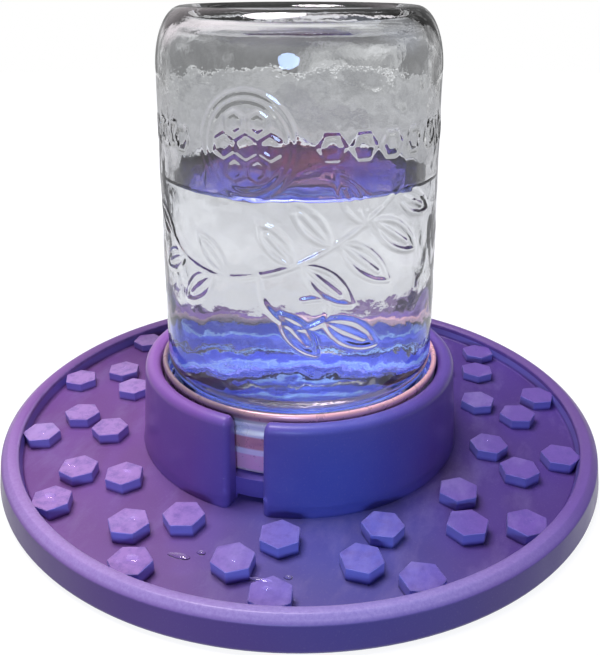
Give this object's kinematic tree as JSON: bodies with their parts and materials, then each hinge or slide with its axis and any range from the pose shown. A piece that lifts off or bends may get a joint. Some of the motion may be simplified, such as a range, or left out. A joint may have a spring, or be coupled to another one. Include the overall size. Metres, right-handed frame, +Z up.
{
  "type": "open dish bee feeder with jar",
  "caption": "Moulded round dish with landing studs and an upright slotted collar that holds an upside-down screw-lid glass jar of liquid feed for bees.",
  "frame": {"origin": "centre of the dish's flat underside, on the surface that it stands on", "axes": "+Z up along the jar's axis; the slot in the collar faces -Y; +X to the right when looking along +Y"},
  "size_m": [0.1998, 0.2, 0.1405],
  "materials": {
    "purple_moulding": "satin moulded silicone, fine speckle",
    "clear_liquid": "clear still liquid",
    "lid_sheet": "tinned sheet under violet-blue lacquer",
    "seal_compound": "matt sealing compound",
    "band_sheet": "tinned sheet under clear rose-violet lacquer",
    "clear_glass": "clear pressed glass"
  },
  "bodies": {
    "base": {"tray": "purple_moulding", "tray_liquid": "clear_liquid"},
    "lid": {"lid_disc": "lid_sheet", "lid_seal": "seal_compound"},
    "band": {"screw_band": "band_sheet"},
    "jar": {"jar": "clear_glass", "jar_liquid": "clear_liquid"}
  },
  "joints": [
    {"name": "feeder_lift", "type": "slide", "parent": "base", "child": "lid", "axis": [0, 0, 1], "range_m": [0, 0.06]},
    {"name": "band_turn", "type": "hinge", "parent": "lid", "child": "band", "pos_m": [0, 0, 0.0127], "axis": [0, 0, -1], "range_deg": [0, 450]},
    {"name": "jar_rise", "type": "slide", "parent": "lid", "child": "jar", "axis": [0, 0, 1], "range_m": [0, 0.00635]}
  ],
  "couplings": [
    {"joint": "jar_rise", "follows": "band_turn", "m_per_rad": 0.00080851}
  ]
}
